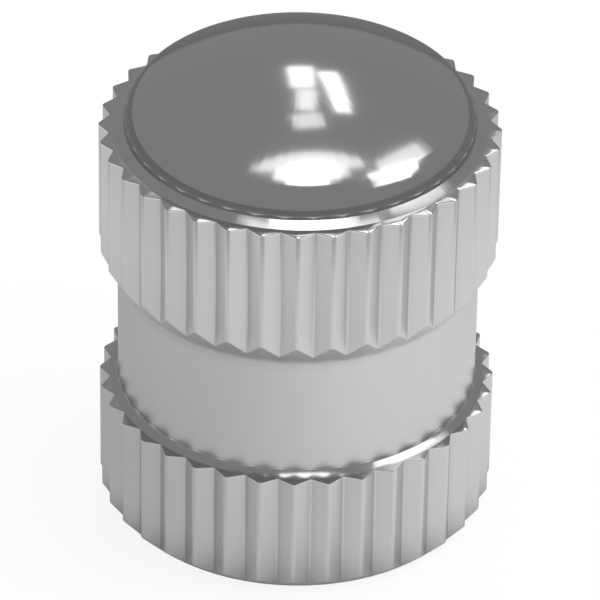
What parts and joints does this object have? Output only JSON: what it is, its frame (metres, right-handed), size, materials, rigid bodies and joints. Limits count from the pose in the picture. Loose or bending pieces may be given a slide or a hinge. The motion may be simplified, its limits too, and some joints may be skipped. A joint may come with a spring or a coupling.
{
  "type": "tyre valve cap",
  "caption": "Domed metal cap with two straight-knurled bands and a plain neck, that screws onto a tyre's valve stem to keep dirt out and seal it with a rubber washer.",
  "frame": {"origin": "on the cap's axis, in the plane of the open mouth it stands on", "axes": "+Z along the axis from the mouth to the dome; a ridge of the knurl faces -Y"},
  "size_m": [0.01, 0.01, 0.0127],
  "materials": {
    "plated_metal": "bright nickel-chrome plate, polished on the dome and satin on the turned sides",
    "seal_rubber": "matte black"
  },
  "bodies": {
    "root": {"cap_shell": "plated_metal", "seal_washer": "seal_rubber"}
  },
  "joints": []
}
